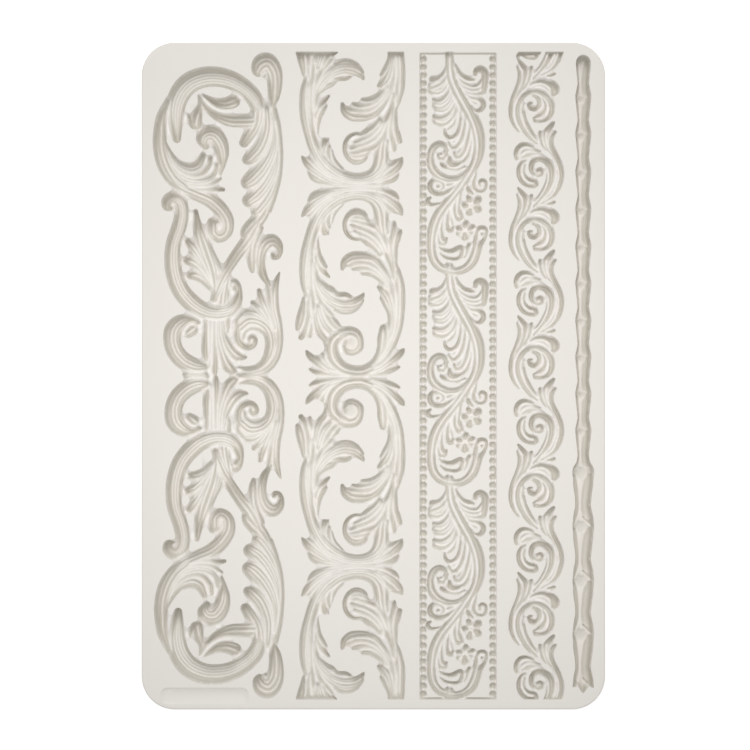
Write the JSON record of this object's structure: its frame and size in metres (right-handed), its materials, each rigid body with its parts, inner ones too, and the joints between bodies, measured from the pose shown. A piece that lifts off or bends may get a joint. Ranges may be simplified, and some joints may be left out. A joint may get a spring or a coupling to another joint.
{
  "type": "resin casting mould",
  "caption": "Flat flexible silicone mould with rows of recessed scroll, leaf, flower and bamboo borders for casting resin, clay or wax trims.",
  "frame": {"origin": "centre of the flat underside", "axes": "+X across the mould from the widest border to the bamboo rod, +Y along the borders, +Z out of the open face"},
  "size_m": [0.146, 0.21, 0.008],
  "materials": {
    "silicone": "matt, pale warm grey, slightly translucent"
  },
  "bodies": {
    "root": {"mould_body": "silicone"}
  },
  "joints": []
}
